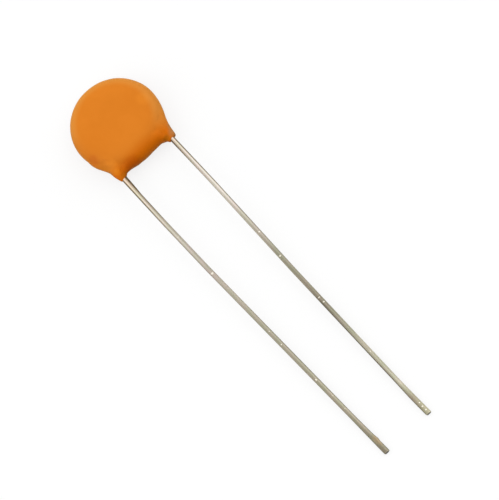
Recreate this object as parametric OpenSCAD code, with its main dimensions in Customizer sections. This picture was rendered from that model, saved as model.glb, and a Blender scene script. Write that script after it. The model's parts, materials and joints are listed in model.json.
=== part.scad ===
// A ceramic disc capacitor. A fired ceramic disc carries a silver electrode on each face,
// a tinned wire is soldered to each electrode, and the whole is dipped in resin, which
// runs a little way down the two wires. It lies on its rear face with its leads towards -Y.
// The origin is under the middle of the whole part, on the surface that it lies on.
// All sizes are in millimetres and all angles in degrees.

/* [Ceramic disc] */
// Diameter of the fired ceramic disc
ceramic_d = 9.2; // [8.6:0.1:11]
// Thickness of the fired ceramic disc
ceramic_t = 1.2; // [0.8:0.1:2]

/* [Electrodes and solder] */
// Bare margin between a silver electrode and the rim of the ceramic
electrode_margin = 0.4; // [0.2:0.05:0.8]
// Thickness of a silver electrode
electrode_t = 0.05; // [0.03:0.01:0.1]
// Height of a solder mound above its electrode
solder_h = 0.5; // [0.3:0.05:0.6]
// Radius of the back of a solder mound, which sets how far it spreads
solder_r = 1; // [0.8:0.05:1.6]
// Bare silver between the solder and the rim of its electrode
solder_margin = 0.1; // [0.05:0.05:0.5]
// Solder left between a wire and its electrode
solder_gap = 0.05; // [0.03:0.01:0.15]

/* [Leads] */
// Diameter of the tinned wire
lead_d = 0.64; // [0.5:0.01:0.8]
// Distance between the leads where they leave the resin
lead_pitch = 7.5; // [6:0.1:8]
// Sideways shift of the pair of leads from the middle of the disc
lead_shift = -0.13; // [-0.3:0.01:0.3]
// Distance from the middle of the disc to the cut ends of the leads
lead_reach = 54.5; // [42:0.5:70]
// Length of a wire's stretch that is soldered to its electrode
joint_l = 4.2; // [2.5:0.1:5]
// Start of that stretch that the solder leaves bare, up to the middle of its round end
joint_bare = 0.8; // [0.3:0.1:1.5]
// Radius of the wire's turn towards the middle of the electrode, at its centre line
joint_turn_r = 1.2; // [0.8:0.1:2]
// Radius of the two bends where a wire climbs from mid-rim to its electrode, at its centre line
step_r = 0.7; // [0.5:0.05:0.8]
// Gap between the top of that climb and the rim of the ceramic
step_gap = 0.2; // [0.1:0.05:0.5]

/* [Slight bends of the free wires] */
// Angle at which the front lead leaves the resin, towards the other lead
front_lean = -0.8; // [-2:0.1:2]
// Angles of the front lead's three gentle bends, towards the other lead
front_turns = [0.8, 0.8, 0]; // [-1:0.05:1]
// Angle at which the rear lead leaves the resin, towards the other lead
rear_lean = 0.3; // [-2:0.1:2]
// Angles of the rear lead's three gentle bends, towards the other lead
rear_turns = [0.7, 0, -0.65]; // [-1:0.05:1]
// Straight stretch before each gentle bend
bow_run = 7.5; // [4:0.5:9]
// Radius of a gentle bend, at the wire's centre line
bow_r = 40; // [20:5:50]

/* [Cut ends of the leads] */
// Length that the cutter has squeezed flat
tip_l = 2.8; // [1.5:0.1:4]
// Width of the squeezed end
tip_w = 0.8; // [0.7:0.01:0.95]
// Thickness of the squeezed end
tip_t = 0.46; // [0.35:0.01:0.6]
// Length of the sheared bevel at the very end
bevel_l = 0.2; // [0.1:0.05:0.5]
// Thickness left at the end of the bevel
bevel_t = 0.22; // [0.1:0.01:0.3]

/* [Resin] */
// Resin over the rim of the ceramic
edge_cover = 1.15; // [0.9:0.05:1.5]
// Resin over a wire on the face
face_cover = 0.36; // [0.2:0.01:0.6]
// Resin down the front lead, from the rim of the dipped disc
front_lobe = 1.6; // [1:0.1:3]
// Resin around the front lead at the tip of its lobe
front_lip = 0.06; // [0.04:0.01:0.3]
// Resin down the rear lead, from the rim of the dipped disc
rear_lobe = 1.75; // [1:0.1:3]
// Resin around the rear lead at the tip of its lobe
rear_lip = 0.3; // [0.04:0.01:0.35]
// Depth that the root of a lobe is sunk inside the rim, so that no step shows
lobe_sink = 0.1; // [0.05:0.01:0.2]
// Thickness of the web of resin between the leads
web_t = 2.4; // [1.6:0.1:2.8]
// How far the edge of the web draws back between the middle of the disc and a lead
web_rise = 0.5; // [0.3:0.05:1]
// Distance between a lead and the round end of the web
web_inset = 1.1; // [0.8:0.05:1.6]

/* [Hidden] */

ROUND = 128;      // facets of the large round shapes
WIRE_ROUND = 48;  // facets of the wires and the solder
FRONT = 1;        // the face that looks up
REAR = -1;
LEFT = -1;        // the side of the front lead
RIGHT = 1;        // the side of the rear lead
STEPS = len(front_turns);
OVERRUN = 1;      // how far a cut runs out past the tip of a lobe
TIP_CLEAR = 0.05; // how far the tapering flats start clear of the round wire
step_slope = atan2(4, 3);   // a wire climbs 4 up for 3 along, from mid-rim to its electrode
joint_turn = atan2(3, 4);   // and then turns 3 across for 4 along, towards the middle

ceramic_r = ceramic_d / 2;
electrode_r = ceramic_r - electrode_margin;
electrode_z = ceramic_t / 2 + electrode_t;              // outer face of an electrode
wire_z = electrode_z + solder_gap + lead_d / 2;         // centre of a wire on the face
coat_r = ceramic_r + edge_cover;
half_t = wire_z + lead_d / 2 + face_cover;              // half the dipped thickness

function lead_x(side) = side * lead_pitch / 2 + lead_shift;
// y distance from the middle of a circle to where a lead crosses it
function chord_y(r, side) = sqrt(r * r - lead_x(side) * lead_x(side));
// y distance from the middle of the disc to the tip of a lobe
function exit_y(side, lobe) = chord_y(coat_r, side) + lobe;

// A wire's climb: two bends with a slope between them
slope_l = (wire_z - 2 * step_r * (1 - cos(step_slope))) / sin(step_slope);
step_run = 2 * step_r * sin(step_slope) + slope_l * cos(step_slope);

// Direction of a free wire after its first n gentle bends
function heading(lean, turns, n) = n == 0 ? lean : heading(lean, turns, n - 1) + turns[n - 1];
// y distance that the stretches before the first n bends and the bends themselves take up
function run_y(lean, turns, n) =
    n == 0 ? 0
    : run_y(lean, turns, n - 1) + bow_run * cos(heading(lean, turns, n - 1))
        + bow_r * abs(sin(heading(lean, turns, n)) - sin(heading(lean, turns, n - 1)));

// ---- Wire, drawn along +Z of a frame that each length hands on to what follows it ----

module straight(l) {
    cylinder(d = lead_d, h = l, $fn = WIRE_ROUND);
    translate([0, 0, l]) children();
}

// A bend of radius r through angle a. "toward" is its compass direction about +Z, from +X.
module bend(r, a, toward) {
    dir = toward + (a < 0 ? 180 : 0);
    turn = abs(a);
    rotate([0, 0, dir]) {
        if (turn > 0)
            translate([r, 0, 0]) rotate([-90, 0, 0]) rotate([0, 0, 180])
                rotate_extrude(angle = turn, $fn = WIRE_ROUND) translate([r, 0])
                    circle(d = lead_d, $fn = WIRE_ROUND);
        translate([r * (1 - cos(turn)), 0, r * sin(turn)]) rotate([0, turn, 0])
            rotate([0, 0, -dir]) children();
    }
}

// The gentle bends of a free wire, from bend number n on
module bow(turns, inward, n = 0) {
    if (n < STEPS)
        straight(bow_run) bend(bow_r, turns[n], inward) bow(turns, inward, n + 1) children();
    else
        children();
}

// The end that the cutter squeezed: it spreads sideways and thins to a bevel
module cut_tip() {
    flat_l = tip_l - bevel_l;
    intersection() {
        cylinder(d1 = lead_d, d2 = tip_w, h = tip_l, $fn = WIRE_ROUND);
        rotate([90, 0, 90]) linear_extrude(2 * tip_w, center = true) polygon([
            [-lead_d / 2 - TIP_CLEAR, 0], [lead_d / 2 + TIP_CLEAR, 0],
            [tip_t / 2, flat_l], [bevel_t / 2, tip_l],
            [-bevel_t / 2, tip_l], [-tip_t / 2, flat_l]
        ]);
    }
}

// The compass direction, in a wire's own frame, that points to the other lead
function inward(side) = side > 0 ? 180 : 0;

// The frame where a lead leaves its lobe, turned by its lean
module at_exit(side, lobe, lean) {
    translate([lead_x(side), -exit_y(side, lobe), 0]) rotate([0, 0, -side * lean]) children();
}

// A wire's way from the tip of its lobe to its electrode
module buried_wire(side, face, lobe, lean) {
    in_l = exit_y(side, lobe) - chord_y(ceramic_r, side) - step_gap - step_run;
    at_exit(side, lobe, lean) rotate([-90, 0, 0])
        straight(in_l)
        bend(step_r, step_slope, -90 * face) straight(slope_l)
        bend(step_r, step_slope, 90 * face)
        bend(joint_turn_r, joint_turn, inward(side)) straight(joint_l);
}

// A whole lead, about the middle of the disc: its buried way and its free wire with its cut end
module lead(side, face, lobe, lean, turns) {
    last_l = (lead_reach - exit_y(side, lobe) - run_y(lean, turns, STEPS))
        / cos(heading(lean, turns, STEPS)) - tip_l;
    buried_wire(side, face, lobe, lean);
    at_exit(side, lobe, lean) rotate([90, 0, 0])
        bow(turns, inward(side)) straight(last_l) cut_tip();
}

// The frame at the top of a lead's climb, with +Z along the wire
module at_climb_top(side, face, lobe, lean) {
    in_y = exit_y(side, lobe) - chord_y(ceramic_r, side) - step_gap;
    at_exit(side, lobe, lean) translate([0, in_y, face * wire_z]) rotate([-90, 0, 0]) children();
}

// The part of a lead that lies on its electrode: the turn and the soldered stretch
module wire_on_face(side, face, lobe, lean) {
    at_climb_top(side, face, lobe, lean)
        bend(joint_turn_r, joint_turn, inward(side)) straight(joint_l);
}

// A solder mound along a wire, wetting only the silver
module mound(side, face, lobe, lean) {
    drop = wire_z - electrode_z + solder_r - solder_h;   // the mound's centre line, below the wire's
    mound_l = joint_l - joint_bare;
    intersection() {
        at_climb_top(side, face, lobe, lean) rotate([0, 0, inward(side)])
            translate([joint_turn_r * (1 - cos(joint_turn)), 0, joint_turn_r * sin(joint_turn)])
                rotate([0, joint_turn, 0]) translate([0, -side * face * drop, joint_bare]) {
                    cylinder(r = solder_r, h = mound_l, $fn = WIRE_ROUND);
                    for (z = [0, mound_l])
                        translate([0, 0, z]) sphere(r = solder_r, $fn = WIRE_ROUND);
                }
        translate([0, 0, face > 0 ? electrode_z : -electrode_z - solder_h])
            cylinder(r = electrode_r - solder_margin, h = solder_h, $fn = ROUND);
    }
}

// ---- Resin ----

// The dipped disc: two flat faces and a fully rounded rim
module dipped_disc() {
    rotate_extrude($fn = ROUND) intersection() {
        union() {
            translate([0, -half_t]) square([coat_r - half_t, 2 * half_t]);
            translate([coat_r - half_t, 0]) circle(r = half_t, $fn = ROUND);
        }
        translate([0, -half_t]) square([coat_r, 2 * half_t]);
    }
}

// Resin drawn down a lead. Its flank is an arc that leaves the rim of the disc and ends
// along the wire.
module resin_lobe(side, lobe, lip) {
    tip_r = lead_d / 2 + lip;
    out_y = exit_y(side, lobe);
    flank_x = abs(lead_x(side)) + tip_r;
    rim = coat_r - lobe_sink;
    flank_r = (flank_x * flank_x + out_y * out_y - rim * rim) / (2 * (rim - flank_x));
    root_l = out_y * (1 - rim / (rim + flank_r));
    root_r = tip_r + flank_r - sqrt(flank_r * flank_r - root_l * root_l);
    translate([lead_x(side), -out_y, 0]) rotate([-90, 0, 0])
        rotate_extrude($fn = ROUND) difference() {
            square([root_r, root_l]);
            translate([tip_r + flank_r, 0]) circle(r = flank_r, $fn = 4 * ROUND);
        }
}

// Resin that fills the notch between the rim of the disc and the two lobes
module web() {
    end_x = lead_pitch / 2 - web_inset;
    reach_x = lead_pitch / 2;
    edge_r = (reach_x * reach_x + web_rise * web_rise) / (2 * web_rise);
    arc_r = edge_r - web_t / 2;
    half_a = asin(end_x / arc_r);
    translate([lead_shift, edge_r - coat_r, 0]) {
        rotate([0, 0, -90 - half_a]) rotate_extrude(angle = 2 * half_a, $fn = 4 * ROUND)
            translate([arc_r, 0]) circle(d = web_t, $fn = WIRE_ROUND);
        for (s = [LEFT, RIGHT])
            rotate([0, 0, -90 + s * half_a]) translate([arc_r, 0, 0])
                sphere(d = web_t, $fn = WIRE_ROUND);
    }
}

// Moves the part from the middle of the disc to its own origin
module placed() {
    translate([0, (lead_reach - coat_r) / 2, half_t]) children();
}

// ---- The pieces ----

module ceramic_disc() {
    color("#cdbfa3") placed()
        cylinder(d = ceramic_d, h = ceramic_t, center = true, $fn = ROUND);
}

module electrode(face) {
    translate([0, 0, face > 0 ? ceramic_t / 2 : -electrode_z])
        cylinder(r = electrode_r, h = electrode_t, $fn = ROUND);
}

module front_electrode() {
    color("#d8d8d4") placed() electrode(FRONT);
}

module rear_electrode() {
    color("#d8d8d4") placed() electrode(REAR);
}

module front_solder() {
    color("#a9abab") placed() difference() {
        mound(LEFT, FRONT, front_lobe, front_lean);
        wire_on_face(LEFT, FRONT, front_lobe, front_lean);
    }
}

module rear_solder() {
    color("#a9abab") placed() difference() {
        mound(RIGHT, REAR, rear_lobe, rear_lean);
        wire_on_face(RIGHT, REAR, rear_lobe, rear_lean);
    }
}

module front_lead() {
    color("#b9b29b") placed() lead(LEFT, FRONT, front_lobe, front_lean, front_turns);
}

module rear_lead() {
    color("#b9b29b") placed() lead(RIGHT, REAR, rear_lobe, rear_lean, rear_turns);
}

module resin_coating() {
    color("#df8329") difference() {
        placed() {
            dipped_disc();
            resin_lobe(LEFT, front_lobe, front_lip);
            resin_lobe(RIGHT, rear_lobe, rear_lip);
            web();
        }
        ceramic_disc();
        front_electrode();
        rear_electrode();
        placed() {
            mound(LEFT, FRONT, front_lobe, front_lean);
            mound(RIGHT, REAR, rear_lobe, rear_lean);
            buried_wire(LEFT, FRONT, front_lobe, front_lean);
            buried_wire(RIGHT, REAR, rear_lobe, rear_lean);
            at_exit(LEFT, front_lobe, front_lean) rotate([90, 0, 0]) straight(OVERRUN);
            at_exit(RIGHT, rear_lobe, rear_lean) rotate([90, 0, 0]) straight(OVERRUN);
        }
    }
}

resin_coating();
ceramic_disc();
front_electrode();
rear_electrode();
front_solder();
rear_solder();
front_lead();
rear_lead();
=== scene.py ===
# %% [markdown]
# # A ceramic disc capacitor
#
# The finished part is a disc of fired ceramic, dipped in orange resin, with two long tinned
# wires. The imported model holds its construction: the ceramic, the silver, the solder, the
# wires and the coat, at their real sizes. This lesson gives it its looks. The two wires and
# the resin are modelled again, because a drawn wire and a dipped coat are never as regular as
# their drawings, and every piece gets a finish.
#
# All of the lesson's lengths are in millimetres, and `MM` turns them into Blender's metres.

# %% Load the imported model
import json
import math

import bpy
from mathutils import Matrix, Vector

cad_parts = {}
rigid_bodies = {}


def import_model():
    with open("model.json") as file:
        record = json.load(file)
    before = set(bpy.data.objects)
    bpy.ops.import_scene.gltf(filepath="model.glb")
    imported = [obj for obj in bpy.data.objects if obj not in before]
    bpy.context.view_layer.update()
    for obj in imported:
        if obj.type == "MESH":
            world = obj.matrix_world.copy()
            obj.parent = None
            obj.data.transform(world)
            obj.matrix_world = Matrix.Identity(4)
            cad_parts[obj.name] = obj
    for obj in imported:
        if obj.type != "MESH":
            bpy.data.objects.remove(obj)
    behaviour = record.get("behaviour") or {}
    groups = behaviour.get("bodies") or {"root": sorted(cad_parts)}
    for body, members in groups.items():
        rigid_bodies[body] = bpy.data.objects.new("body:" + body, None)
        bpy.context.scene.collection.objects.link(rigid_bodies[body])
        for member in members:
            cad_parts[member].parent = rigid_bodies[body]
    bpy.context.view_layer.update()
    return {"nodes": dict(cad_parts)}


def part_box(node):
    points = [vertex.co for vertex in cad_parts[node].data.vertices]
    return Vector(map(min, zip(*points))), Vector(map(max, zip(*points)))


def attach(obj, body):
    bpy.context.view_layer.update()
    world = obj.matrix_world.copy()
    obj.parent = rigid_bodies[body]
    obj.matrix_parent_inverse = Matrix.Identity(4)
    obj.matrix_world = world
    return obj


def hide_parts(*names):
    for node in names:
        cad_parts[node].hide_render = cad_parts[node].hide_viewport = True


MM = 0.001
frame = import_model()
nodes = frame["nodes"]
ceramic_low, ceramic_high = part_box("ceramic_disc")
MIDDLE = (ceramic_low + ceramic_high) / 2  # the middle of the disc: the model's own centre
print("nodes:", ", ".join(sorted(nodes)))
print("middle of the disc, mm:", [round(c / MM, 3) for c in MIDDLE])

# %% [markdown]
# ## The camera
#
# A small part like this is taken from far away with a long lens, so that the two wires stay
# parallel. The camera looks down steeply on the disc, from the side of the wires, and is
# turned about its own axis, so that the wires run to the lower right.

# %% Camera
LENS = 1200  # mm, long enough to leave hardly any perspective
CAMERA_DISTANCE = 1984.6
CAMERA_AIM = Vector((1.153, 0.887, 1.7))
CAMERA_ELEVATION = math.radians(68.06)
CAMERA_AZIMUTH = math.radians(-3.94)
CAMERA_ROLL = math.radians(39.26)

away = Vector((
    math.sin(CAMERA_AZIMUTH) * math.cos(CAMERA_ELEVATION),
    -math.cos(CAMERA_AZIMUTH) * math.cos(CAMERA_ELEVATION),
    math.sin(CAMERA_ELEVATION),
))
level = away.to_track_quat("Z", "Y").to_matrix()  # +Z towards the viewer, +Y up
rolled = level @ Matrix.Rotation(-CAMERA_ROLL, 3, "Z")
camera_data = bpy.data.cameras.new("camera")
camera_data.lens = LENS
camera_data.clip_start = 0.1
camera_data.clip_end = 10
camera = bpy.data.objects.new("camera", camera_data)
camera.matrix_world = Matrix.Translation((CAMERA_AIM + away * CAMERA_DISTANCE) * MM) @ rolled.to_4x4()
bpy.context.scene.collection.objects.link(camera)
bpy.context.scene.camera = camera
print("camera at", [round(c, 3) for c in camera.location], "m")

# %% [markdown]
# ## Drawing a body ring by ring
#
# Blender's operators act on whatever is selected, and the loaded nodes still are. So each
# piece starts with everything deselected. The disc and the web of resin are then drawn as a
# potter builds a bowl: `start_ring` adds the first ring as a filled circle, and `next_ring`
# extrudes it, moves it to its new place and gives it its new size.

# %% Select and deselect
def deselect_all():
    bpy.ops.object.select_all(action="DESELECT")


def select_only(*pieces):
    """Selects these pieces and nothing else. The last one becomes the active one."""
    deselect_all()
    for piece in pieces:
        piece.select_set(True)
    bpy.context.view_layer.objects.active = pieces[-1]


def apply_place(piece_name):
    """Names the newest primitive, moves its place and size into its mesh, and gives it back."""
    piece = bpy.context.active_object
    piece.name = piece.data.name = piece_name
    bpy.ops.object.transform_apply(location=True, rotation=True, scale=True)
    return piece


def at(place):
    """A place in millimetres from the middle of the disc, as a place in Blender."""
    return MIDDLE + Vector(place) * MM


still_selected = [piece.name for piece in bpy.context.view_layer.objects if piece.select_get()]
print("still selected after loading:", len(still_selected), "objects")

# %% Rings
FACING = {"X": (0, math.pi / 2, 0), "Z": (0, 0, 0)}


def start_ring(name, centre, half_size, facing, points):
    """Adds a filled ring that is seen along the axis `facing`, and leaves it in edit mode."""
    deselect_all()
    bpy.ops.mesh.primitive_circle_add(
        vertices=points, radius=MM, fill_type="NGON", location=at(centre), rotation=FACING[facing],
    )
    piece = apply_place(name)
    bpy.ops.object.mode_set(mode="EDIT")
    bpy.ops.mesh.select_all(action="SELECT")
    piece["ring_at"] = centre
    piece["ring_size"] = (1.0, 1.0, 1.0)
    fit_ring(piece, centre, half_size)
    return piece


def fit_ring(piece, centre, half_size):
    """Moves the selected ring to its centre, and scales it to its half size along x, y and z."""
    step = [(c - b) * MM for c, b in zip(centre, piece["ring_at"])]
    grow = [n / o for n, o in zip(half_size, piece["ring_size"])]
    bpy.ops.transform.translate(value=step)
    bpy.ops.transform.resize(value=grow, center_override=at(centre))
    piece["ring_at"] = centre
    piece["ring_size"] = half_size


def next_ring(piece, centre, half_size):
    """Extrudes the selected ring to its next place and size."""
    bpy.ops.mesh.extrude_region_move()
    fit_ring(piece, centre, half_size)


def close_piece(piece):
    """Leaves edit mode with every face pointing outwards."""
    bpy.ops.mesh.select_all(action="SELECT")
    bpy.ops.mesh.normals_make_consistent(inside=False)
    bpy.ops.object.mode_set(mode="OBJECT")
    return piece


# %% [markdown]
# ## The resin
#
# The real coat is one skin: the disc is dipped, the resin runs a little way down each wire,
# and surface tension draws a web between the two. A drawing of that would need dozens of
# fillets. Here each body of resin is roughed out as a closed shape of its own, overlapping
# the others. Remeshing then grows one skin around them all, and smoothing pulls that skin
# tight, as surface tension does.
#
# The dipped disc comes first. Wet resin leaves no corner where the face turns into the rim,
# so the rings follow one curve that bends a little more from ring to ring.

# %% The dipped disc
COAT_R = 5.75
COAT_HALF_T = 1.7
FLATNESS = 6.0  # 2 would be an egg, and a high number a coin
DISC_RINGS = 40
FACE_ANGLE = 84  # degrees from the middle of the rim to the first and the last ring

angles = [math.radians(-FACE_ANGLE + 2 * FACE_ANGLE * i / DISC_RINGS) for i in range(DISC_RINGS + 1)]
rim_curve = [(COAT_R * math.cos(a) ** (2 / FLATNESS), COAT_HALF_T * math.sin(a)) for a in angles]
radius, height = rim_curve[0]
disc = start_ring("dipped_disc", (0, 0, height), (radius, radius, 1.0), "Z", points=160)
for radius, height in rim_curve[1:]:
    next_ring(disc, (0, 0, height), (radius, radius, 1.0))
close_piece(disc)
print("dipped disc:", len(disc.data.polygons), "faces")

# %% [markdown]
# The resin on a wire stands like a tent. It hangs from the face, where the wire climbs on to
# the disc, and is drawn down to the wire at its tip. So it is made as one pitches a tent:
# small balls stand where the poles would, and a skin is stretched over each two neighbouring
# groups of them. Edit mode's convex hull is that skin.

# %% Stretch resin over balls
def add_balls(balls):
    """Adds the balls of one pole, each a place and a radius, to the piece being edited."""
    for x, y, z, radius in balls:
        bpy.ops.mesh.primitive_uv_sphere_add(
            segments=24, ring_count=12, radius=radius * MM, location=at((x, y, z)),
        )


def pitch_tent(name, poles):
    """Stretches one skin over each two neighbouring poles."""
    deselect_all()
    x, y, z, radius = poles[0][0]
    bpy.ops.mesh.primitive_uv_sphere_add(radius=radius * MM, location=at((x, y, z)))
    tent = apply_place(name)
    bpy.ops.object.mode_set(mode="EDIT")
    bpy.ops.mesh.hide(unselected=False)
    for near, far in zip(poles, poles[1:]):
        add_balls(near + far)
        bpy.ops.mesh.select_all(action="SELECT")
        bpy.ops.mesh.convex_hull()
        bpy.ops.mesh.hide(unselected=False)  # a finished stretch is left out of the next one
    bpy.ops.mesh.reveal()
    return close_piece(tent)


# %% [markdown]
# The two tents differ, because the front wire is soldered to the upper face and the rear wire
# to the lower one. The front tent rises steeply from a thin tip to a narrow ridge on the face.
# The rear tent is broad and low, with a blunt tip, because its wire climbs out of sight.

# %% The resin on the front wire, which climbs to the upper face
# every ball: x, y, z from the middle of the disc, and its radius
FRONT_TENT = [
    [(-3.94, -5.60, 0.00, 0.44), (-3.84, -5.40, 0.14, 0.36), (-3.42, -5.46, -0.10, 0.25)],
    [(-4.19, -4.85, 0.05, 0.40), (-3.56, -4.75, 0.70, 0.22), (-3.88, -4.72, 0.36, 0.34),
     (-3.10, -4.82, 0.12, 0.42), (-3.70, -4.72, -0.25, 0.40)],
    [(-4.20, -4.00, 0.05, 0.47), (-3.42, -4.05, 0.96, 0.24), (-3.86, -3.99, 0.56, 0.40),
     (-2.90, -4.00, 0.60, 0.50), (-3.60, -3.99, -0.50, 0.50)],
    [(-4.27, -3.40, 0.05, 0.61), (-3.30, -3.40, 1.14, 0.30), (-3.88, -3.35, 0.72, 0.50),
     (-3.40, -3.40, -0.60, 0.60)],
    [(-4.60, -2.20, 0.00, 0.87), (-4.78, -1.70, 0.00, 0.85), (-4.86, -1.20, 0.00, 0.81),
     (-3.00, -2.55, 1.16, 0.40), (-3.75, -2.60, 0.98, 0.50), (-3.00, -2.20, -0.80, 0.60)],
]
front_tent = pitch_tent("front_tent", FRONT_TENT)
print("front tent:", len(front_tent.data.polygons), "faces")

# %% The resin on the rear wire, which climbs to the lower face
REAR_TENT = [
    [(4.04, -5.92, 0.16, 0.27), (4.04, -5.92, -0.22, 0.27), (3.32, -6.08, 0.16, 0.27),
     (3.32, -6.08, -0.22, 0.27)],
    [(4.00, -5.00, -0.05, 0.45), (3.50, -5.00, 0.34, 0.50), (3.05, -5.00, 0.15, 0.50),
     (3.55, -5.00, -0.40, 0.50)],
    [(3.82, -4.10, -0.10, 0.80), (3.30, -4.10, 0.45, 0.70), (2.60, -4.20, 0.40, 0.75),
     (3.45, -4.10, -0.62, 0.70)],
    [(3.90, -3.40, -0.05, 0.95), (3.10, -3.40, 0.68, 0.72), (3.40, -3.40, -0.72, 0.76)],
    [(4.14, -2.52, 0.00, 1.08), (2.80, -2.70, 0.72, 0.75), (3.40, -2.90, -0.75, 0.80)],
    [(4.33, -1.95, 0.00, 1.10), (4.56, -1.10, 0.00, 1.10), (3.00, -1.50, 0.60, 0.70),
     (3.00, -1.50, -0.60, 0.70)],
]
rear_tent = pitch_tent("rear_tent", REAR_TENT)
print("rear tent:", len(rear_tent.data.polygons), "faces")

# %% [markdown]
# Between the tents the wet resin hung in a web, as a soap film does: thick in the middle, and
# thinner towards the wires. One row of oval rings is drawn across it, from tent to tent. Its
# ends stay inside the tents, so they may be flat.

# %% The web between the wires
# every ring: x, y, z of its centre, half depth along y, half height
WEB = [
    (-3.50, -4.45, 0.00, 1.08, 0.60),
    (-3.00, -4.20, 0.00, 1.29, 0.92),
    (-2.60, -4.12, 0.00, 1.35, 1.12),
    (-2.26, -4.12, 0.00, 1.38, 1.24),
    (-1.42, -4.18, 0.00, 1.50, 1.38),
    (0.98, -4.18, 0.00, 1.52, 1.42),
    (2.26, -4.22, 0.00, 1.43, 1.32),
    (2.83, -4.50, 0.00, 1.44, 1.12),
    (3.20, -4.85, -0.02, 1.34, 0.88),
    (3.60, -5.05, -0.02, 1.00, 0.60),
]
x, y, z, half_depth, half_height = WEB[0]
web = start_ring("web", (x, y, z), (1.0, half_depth, half_height), "X", points=48)
for x, y, z, half_depth, half_height in WEB[1:]:
    next_ring(web, (x, y, z), (1.0, half_depth, half_height))
close_piece(web)
print("web:", len(web.data.polygons), "faces")

# %% [markdown]
# A boolean union of these four bodies would keep a hard crease wherever two of them meet. So
# they are joined into one object, and a voxel remesh grows an even net of small faces around
# all of it. Smoothing then rounds the creases. A cell of 0.08 mm is fine enough for the tips of
# the tents, and keeps the skin near a hundred thousand faces.

# %% One skin around them all
SKIN_CELL = 0.08
TENSION, PULLS = 0.5, 12  # how hard the skin is pulled smooth each time, and how often

select_only(front_tent, rear_tent, web, disc)
bpy.ops.object.join()
resin = bpy.context.active_object
resin.name = resin.data.name = "dipped_resin"

skin = resin.modifiers.new("skin", "REMESH")
skin.mode = "VOXEL"
skin.voxel_size = SKIN_CELL * MM
bpy.ops.object.modifier_apply(modifier=skin.name)
tension = resin.modifiers.new("surface tension", "SMOOTH")
tension.factor = TENSION
tension.iterations = PULLS
bpy.ops.object.modifier_apply(modifier=tension.name)
print("resin:", len(resin.data.polygons), "faces")

# %% [markdown]
# Resin that has dried is never quite even. A cloud texture moves the skin in and out by a
# few hundredths of a millimetre, in slow waves.

# %% Slow waves in the skin
WAVE_LENGTH, WAVE_HEIGHT = 2.6, 0.05

waves_texture = bpy.data.textures.new("slow_waves", "CLOUDS")
waves_texture.noise_scale = WAVE_LENGTH * MM
waves_texture.noise_depth = 1
waves = resin.modifiers.new("slow waves", "DISPLACE")
waves.texture = waves_texture
waves.texture_coords = "LOCAL"
waves.strength = WAVE_HEIGHT * MM
waves.mid_level = 0.5
bpy.ops.object.modifier_apply(modifier=waves.name)
bpy.ops.object.shade_smooth()
coat_low = [min(v.co[i] for v in resin.data.vertices) for i in range(3)]
coat_high = [max(v.co[i] for v in resin.data.vertices) for i in range(3)]
print("coat, mm:", [round((h - l) / MM, 2) for l, h in zip(coat_low, coat_high)])

# %% [markdown]
# ## The wires
#
# A lead is drawn round wire, 0.64 mm thick, bent by hand. It is made in the same way: a
# round end is extruded straight on, and turned through each bend with spin. The buried half
# goes first: in from the mouth of the coat, up to the silvered face, and along it to the
# solder. Then the same mouth is drawn outwards, all the way to the tip.

# %% Draw a wire along its route
WIRE_R = 0.32


def start_wire(name, start, heading):
    """Adds the round end of a wire, and leaves it in edit mode. A wire remembers how far it got."""
    deselect_all()
    facing = Vector(heading).to_track_quat("Z", "X").to_euler()
    bpy.ops.mesh.primitive_circle_add(
        vertices=32, radius=WIRE_R * MM, fill_type="NGON", location=at(start), rotation=facing,
    )
    piece = apply_place(name)
    bpy.ops.object.mode_set(mode="EDIT")
    bpy.ops.mesh.select_all(action="SELECT")
    return {"piece": piece, "at": Vector(start), "heading": Vector(heading).normalized()}


def straight(wire, length, stretches):
    """Draws the wire straight on, in equal stretches."""
    step = wire["heading"] * (length / stretches)
    for _ in range(stretches):
        bpy.ops.mesh.extrude_region_move(TRANSFORM_OT_translate={"value": step * MM})
        wire["at"] = wire["at"] + step


def bend(wire, radius, angle, towards, steps):
    """Bends the wire by an angle in degrees, around a centre that lies `towards` one side."""
    side = Vector(towards) - wire["heading"] * Vector(towards).dot(wire["heading"])
    side.normalize()
    axis = wire["heading"].cross(side)
    centre = wire["at"] + side * radius
    # spin turns left where a rotation matrix turns right, so its angle is negative
    bpy.ops.mesh.spin(steps=steps, angle=-math.radians(angle), center=at(centre), axis=axis)
    turn = Matrix.Rotation(math.radians(angle), 3, axis)
    wire["at"] = centre + turn @ (wire["at"] - centre)
    wire["heading"] = turn @ wire["heading"]


def select_near(wire, distance):
    """Selects the vertices within a distance of where the wire has got to, in edit mode."""
    bpy.ops.mesh.select_mode(type="VERT")
    bpy.ops.mesh.select_all(action="DESELECT")
    bpy.ops.object.mode_set(mode="OBJECT")
    for vertex in wire["piece"].data.vertices:
        vertex.select = (vertex.co - at(wire["at"])).length < distance * MM
    bpy.ops.object.mode_set(mode="EDIT")


# %% The two routes
STEP_SLOPE = math.degrees(math.atan2(4, 3))  # the climb to the face
JOINT_TURN = math.degrees(math.atan2(3, 4))  # the turn towards the middle, where it is soldered
REACH = 54.37  # from the middle of the disc to the tips
FRONT_MOUTH = (-3.88, -5.8436)  # x and y where the front wire leaves the coat
REAR_MOUTH = (3.62, -6.2175)
CLIMB_BEND, JOINT_BEND, SLOW_BEND = 0.7, 1.2, 40  # the radius of each kind of bend
CLIMB, JOINT = 0.575, 4.2  # the straight climb, and the straight stretch in the solder
STRETCH = 7.5  # between the slow bends outside
RING_STEP = 0.75  # between two rings, before the stretches are cut


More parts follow.
